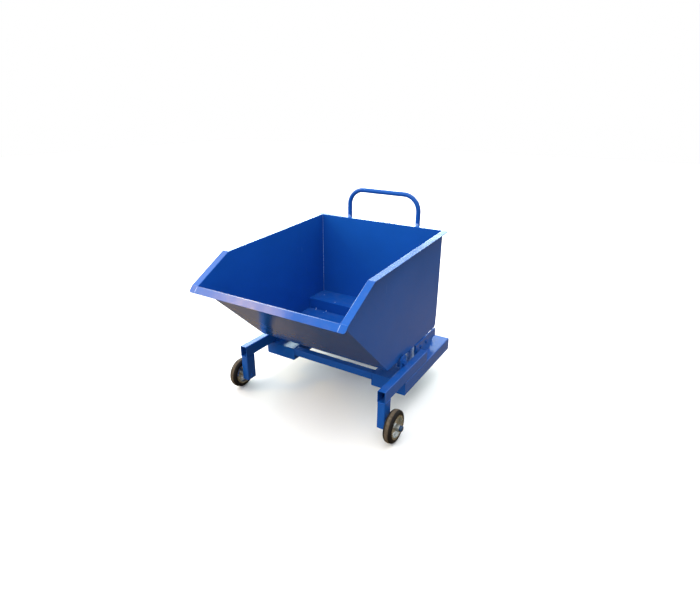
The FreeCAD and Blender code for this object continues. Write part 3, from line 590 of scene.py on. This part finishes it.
def rail_welds():
    """Beads between each rail and its pocket: at the rail's end, in stitches and at the pocket's front."""
    low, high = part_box("right_side_rail")
    seams = [across_rail(high.y)]
    for start in STITCH_STARTS:
        seams.append(((low.x, start, low.z), (low.x, start + STITCH_LENGTH, low.z)))
    seams.append(across_rail(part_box("right_fork_pocket")[0].y - END_PLATE))
    weld("rail_welds", both_sides(seams), FRAME_BEAD, "base")


def cross_welds():
    """Beads at both ends of the front cross member and of the rear channel."""
    low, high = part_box("front_cross_member")
    seams = []
    for z in (low.z, high.z):
        seams.append(((high.x, low.y + SEAM_INSET, z), (high.x, high.y - SEAM_INSET, z)))
    seams.append(((high.x, low.y, low.z + SEAM_INSET), (high.x, low.y, high.z - SEAM_INSET)))
    low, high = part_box("rear_channel")
    for y in (low.y, high.y):
        seams.append(((high.x, y, low.z), (high.x, y, high.z - SEAM_INSET)))
    weld("cross_welds", both_sides(seams), FRAME_BEAD, "base")


def plate_welds():
    """Beads at the feet of the pivot ears and of the support plates."""
    low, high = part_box("right_pivot_ear")
    rail_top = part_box("right_side_rail")[1].z
    seams = [((low.x, low.y, low.z), (low.x, high.y, low.z))]
    for y in (low.y, high.y):
        seams.append(((high.x, y, low.z), (high.x, y, rail_top)))
    low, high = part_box("right_support_plate")
    for x in (low.x, high.x):
        seams.append(((x, low.y, low.z), (x, low.y + SUPPORT_FOOT, low.z)))
    weld("plate_welds", both_sides(seams), FRAME_BEAD, "base")


def lock_welds():
    """Beads along the front and the rear foot of the slide bolt's bracket."""
    low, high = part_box("lock_bracket")
    seams = [((low.x, y, low.z), (high.x, y, low.z)) for y in (low.y, high.y)]
    weld("lock_welds", seams, LOCK_BEAD, "base")


def axle_welds():
    """A bead around the inner end of each stub axle, on its leg."""
    low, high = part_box("right_axle")
    radius = (high.z - low.z) / 2
    middle = (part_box("right_wheel_leg")[0].x, (low.y + high.y) / 2, (low.z + high.z) / 2)
    seams = arc_seam(middle, radius + TUBE_GAP, FULL_TURN, AXLE_ARC_STEPS, (1, 2))
    weld("axle_welds", both_sides(seams), AXLE_BEAD, "base")


def all_welds():
    """The beads of the skip and then those of the frame."""
    skip_seam_welds()
    lug_welds()
    handle_welds()
    keeper_welds()
    leg_welds()
    rail_welds()
    cross_welds()
    plate_welds()
    lock_welds()
    axle_welds()


# Tyres
TREAD_RIBS = 110
RIB_DEPTH = 0.0007
GROOVE_DEPTH = 0.0014
CROWN_DROP = 0.0012
SHOULDER = 0.013
SEAT_INSET = 0.003
SEAT_DEPTH = 0.004
# Half a section in three stretches: tread (share of its half width, share of the groove's depth, share of
# the rib's depth), shoulder (degrees, share of the rib's depth) and wall (share of its height, bulge)
TREAD_POINTS = ((0, 1, 0), (0.12, 1, 0), (0.2, 0, 1), (0.5, 0, 1), (0.58, 1, 0), (0.68, 1, 0),
                (0.76, 0, 1), (1.0, 0, 1))
SHOULDER_POINTS = ((20, 1), (40, 1), (55, 0), (70, 0), (90, 0))
WALL_POINTS = ((0.45, 0.0), (0.55, -0.0006), (0.75, -0.0006), (0.9, -0.0014), (1.0, -0.003))


def tyre_profile(half, tread, rim_edge):
    """Half a tyre's section from the crown to its seat: (across, out, share of the rib's depth)."""
    flat = half - SHOULDER
    points = []
    for share, sunk, rib in TREAD_POINTS:
        points.append((flat * share, tread - CROWN_DROP * share ** 2 - sunk * GROOVE_DEPTH, rib))
    top = tread - CROWN_DROP - SHOULDER
    for degrees, rib in SHOULDER_POINTS:
        angle = math.radians(degrees)
        points.append((flat + SHOULDER * math.sin(angle), top + SHOULDER * math.cos(angle), rib))
    wall = top - rim_edge
    for share, bulge in WALL_POINTS:
        points.append((half + bulge, top - wall * share, 0))
    points.append((half - SEAT_INSET, rim_edge - SEAT_DEPTH, 0))
    return points


def build_tyre(node, body, sizes, material):
    """A ribbed and grooved tyre in place of the plain one, from its half width, tread and rim radius."""
    side = tyre_profile(*sizes)
    section = [(-across, out, rib) for across, out, rib in reversed(side[1:])] + side
    steps = 2 * TREAD_RIBS
    points = []
    for step in range(steps):
        angle = step / steps * math.tau
        for across, out, rib in section:
            reach = out - rib * RIB_DEPTH * (step % 2)
            points.append((across, reach * math.cos(angle), reach * math.sin(angle)))
    name = node + "_ribbed"
    mesh = mesh_from(name, points, ring_faces(steps, len(section), True))
    low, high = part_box(node)
    tyre = new_object(name, mesh, material, body, (low + high) / 2)
    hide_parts(node)


def all_tyres():
    """The tyres of both front wheels and both castors, with a rubber for each size."""
    for prefix, body in (("", "wheel"), ("castor_", "castor_wheel")):
        low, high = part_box(f"right_{prefix}tyre")
        rim_low, rim_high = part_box(f"right_{prefix}rim")
        sizes = ((high.x - low.x) / 2, (high.z - low.z) / 2, (rim_high.z - rim_low.z) / 2)
        material = tyre_rubber(f"{prefix}tyre_rubber", *sizes)
        for side, _ in SIDES:
            build_tyre(f"{side}_{prefix}tyre", f"{side}_{body}", sizes, material)


# Rubber rest pads: ribs with grooves between them, whose feet and edges are shares of the pitch
PAD_RIBS = 6
PAD_GROOVE = 0.0018
GROOVE_FOOT = 0.15
RIB_START = 0.25
RIB_END = 0.85
PAD_EDGE = 0.00075
PAD_EDGE_SEGMENTS = 3


def pad_outline(low, high):
    """A pad's section as (Y, Z), from its front foot over the ribs to its rear foot."""
    pitch = (high.y - low.y) / PAD_RIBS
    outline = [(low.y, low.z), (low.y, high.z)]
    for index in range(PAD_RIBS):
        start = low.y + index * pitch
        if index > 0:
            outline.append((start + pitch * GROOVE_FOOT, high.z - PAD_GROOVE))
        outline += [(start + pitch * RIB_START, high.z), (start + pitch * RIB_END, high.z)]
    outline += [(high.y, high.z), (high.y, low.z)]
    return outline


def rest_pads():
    """Ribbed rubber pads with rounded edges under the skip floor."""
    for side, _ in SIDES:
        low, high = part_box(f"{side}_rest_pad")
        name = f"{side}_ribbed_pad"
        outline = pad_outline(low, high)
        count = len(outline)
        points = [(x, y, z) for x in (low.x, high.x) for y, z in outline]
        faces = [tuple(range(count)), tuple(reversed(range(count, 2 * count)))]
        for index in range(count):
            ahead = (index + 1) % count
            faces.append((index, index + count, ahead + count, ahead))
        mesh = mesh_from(name, points, faces, smooth=False)
        pad = new_object(name, mesh, RUBBER_BLACK, "base")
        bevel = pad.modifiers.new("rounded_edges", "BEVEL")
        bevel.width = PAD_EDGE
        bevel.segments = PAD_EDGE_SEGMENTS
        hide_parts(f"{side}_rest_pad")


# Floor: half its width, and how far from the middle the light that it throws back starts and ends to fade
FLOOR_HALF = 14
BOUNCE_FADE = (1.2, 2.6)
FLOOR_ROUGHNESS = 0.9


def add_floor():
    """A plain pale floor that throws less light back than it shows."""
    half = FLOOR_HALF
    corners = [(-half, -half, 0), (half, -half, 0), (half, half, 0), (-half, half, 0)]
    mesh = mesh_from("stage_floor", corners, [(0, 1, 2, 3)], smooth=False)
    floor = bpy.data.objects.new("stage_floor", mesh)
    bpy.context.scene.collection.objects.link(floor)
    graph = Graph(bpy.data.materials.new("stage_floor"))
    seen = graph.add("LightPath").outputs["Is Camera Ray"]
    bounce = graph.mix(graph.fade(graph.distance((1, 1, 1)), *BOUNCE_FADE), FLOOR_BOUNCE, FLOOR_FAR)
    graph.give(base_color=graph.mix(seen, bounce, FLOOR_SEEN), roughness=FLOOR_ROUGHNESS)
    mesh.materials.append(graph.owner)


# Strengths in the sky: the dome at the horizon and overhead, the share of it left in the shade, the lights
SKY_LOW = 0.54
SKY_TOP = 3.3
SKY_SHADE = 0.35
SKY_RIGHT = 0.8
SKY_LEFT = 2.0
SKY_WARM = 26.0
SKY_BACK = 3.2
SKY_GLOW = 14.0
# Strengths at which the lights behind and the warm light take their full colour
COOL_FULL = 1.5
WARM_FULL = 0.2
# Soft limits of each light: axis of the direction, value where the light is out, value where it is full
DOME_LIMITS = (("X", 0.6, 0.1),)
SHADE_LIMITS = (("X", -0.25, -0.40), ("X", -0.66, -0.56), ("Z", 0.60, 0.70))
RIGHT_LIMITS = (("X", 0.1, 0.6),)
LEFT_LIMITS = (("X", -0.55, -0.68), ("Z", 0.8, 0.6))
BACK_LIMITS = (("Z", 0.54, 0.45), ("Z", 0.385, 0.44), ("Y", 0.4, 0.55), ("X", -0.1, -0.5))
GLOW_LIMITS = (("Z", 0.35, 0.20), ("Y", 0.6, 0.75), ("X", -0.1, -0.25), ("X", -0.56, -0.48))
SIDE_GLOW_LIMITS = (("Z", 0.445, 0.35), ("Z", 0.22, 0.27), ("Y", 0.5, 0.6), ("X", -0.53, -0.57))
WARM_LIMITS = (("Y", -0.28, -0.34), ("Y", -0.56, -0.50), ("X", -0.585, -0.63), ("X", -0.695, -0.66),
               ("Z", 0.50, 0.57), ("Z", 0.80, 0.72))


def lamp(graph, strength, limits):
    """A light in the sky within soft limits."""
    light = strength
    for axis, out, full in limits:
        light = graph.math("MULTIPLY", light, graph.fade(graph.part("Generated", axis), out, full))
    return light


def add_sky():
    """A soft dome of light, dim on the right and in a patch high on the left. In it are a broad light on
    the left, three low ones behind and a small warm one at the front left. The camera sees plain white."""
    world = bpy.data.worlds.new("soft_sky")
    bpy.context.scene.world = world
    graph = Graph(world, "Background")
    height = graph.part("Generated", "Z")
    dome = lamp(graph, graph.fade(height, 0.0, 1.0, SKY_LOW, SKY_TOP), DOME_LIMITS)
    shade = lamp(graph, 1.0, SHADE_LIMITS)
    dome = graph.math("MULTIPLY", dome, graph.fade(shade, 0.0, 1.0, 1.0, SKY_SHADE))
    right = lamp(graph, SKY_RIGHT, RIGHT_LIMITS)
    left = lamp(graph, SKY_LEFT, LEFT_LIMITS)
    behind = lamp(graph, SKY_BACK, BACK_LIMITS)
    for limits in (GLOW_LIMITS, SIDE_GLOW_LIMITS):
        behind = graph.math("ADD", behind, lamp(graph, SKY_GLOW, limits))
    warm = lamp(graph, 1.0, WARM_LIMITS)
    light = graph.math("MULTIPLY", warm, SKY_WARM)
    for part in (dome, right, left, behind):
        light = graph.math("ADD", light, part)
    colour = graph.mix(graph.fade(behind, 0.0, COOL_FULL), CLEAR, COOL)
    colour = graph.mix(graph.fade(warm, 0.0, WARM_FULL), colour, WARM)
    seen = graph.add("LightPath").outputs["Is Camera Ray"]
    light = graph.fade(seen, 0.0, 1.0, light, 1.0)
    graph.give(color=graph.mix(seen, colour, WHITE), strength=light)


def add_camera():
    """The camera of the photograph, from its place, its three angles and its focal length."""
    forward = Vector((-math.sin(CAMERA_YAW) * math.cos(CAMERA_PITCH),
                      math.cos(CAMERA_YAW) * math.cos(CAMERA_PITCH), -math.sin(CAMERA_PITCH)))
    level = Vector((math.cos(CAMERA_YAW), math.sin(CAMERA_YAW), 0))
    above = level.cross(forward)
    right = level * math.cos(CAMERA_ROLL) + above * math.sin(CAMERA_ROLL)
    up = above * math.cos(CAMERA_ROLL) - level * math.sin(CAMERA_ROLL)
    lens = bpy.data.cameras.new("camera")
    lens.sensor_width = SENSOR_WIDTH
    lens.lens = FOCAL_PIXELS / PHOTO_WIDTH * SENSOR_WIDTH
    camera = bpy.data.objects.new("camera", lens)
    bpy.context.scene.collection.objects.link(camera)
    turn = Matrix((right, up, -forward)).transposed()
    camera.matrix_world = Matrix.Translation(CAMERA_PLACE) @ turn.to_4x4()
    bpy.context.scene.camera = camera
    bpy.context.scene.view_settings.view_transform = "Standard"


finish_nodes()
all_welds()
all_tyres()
rest_pads()
add_floor()
add_sky()
add_camera()
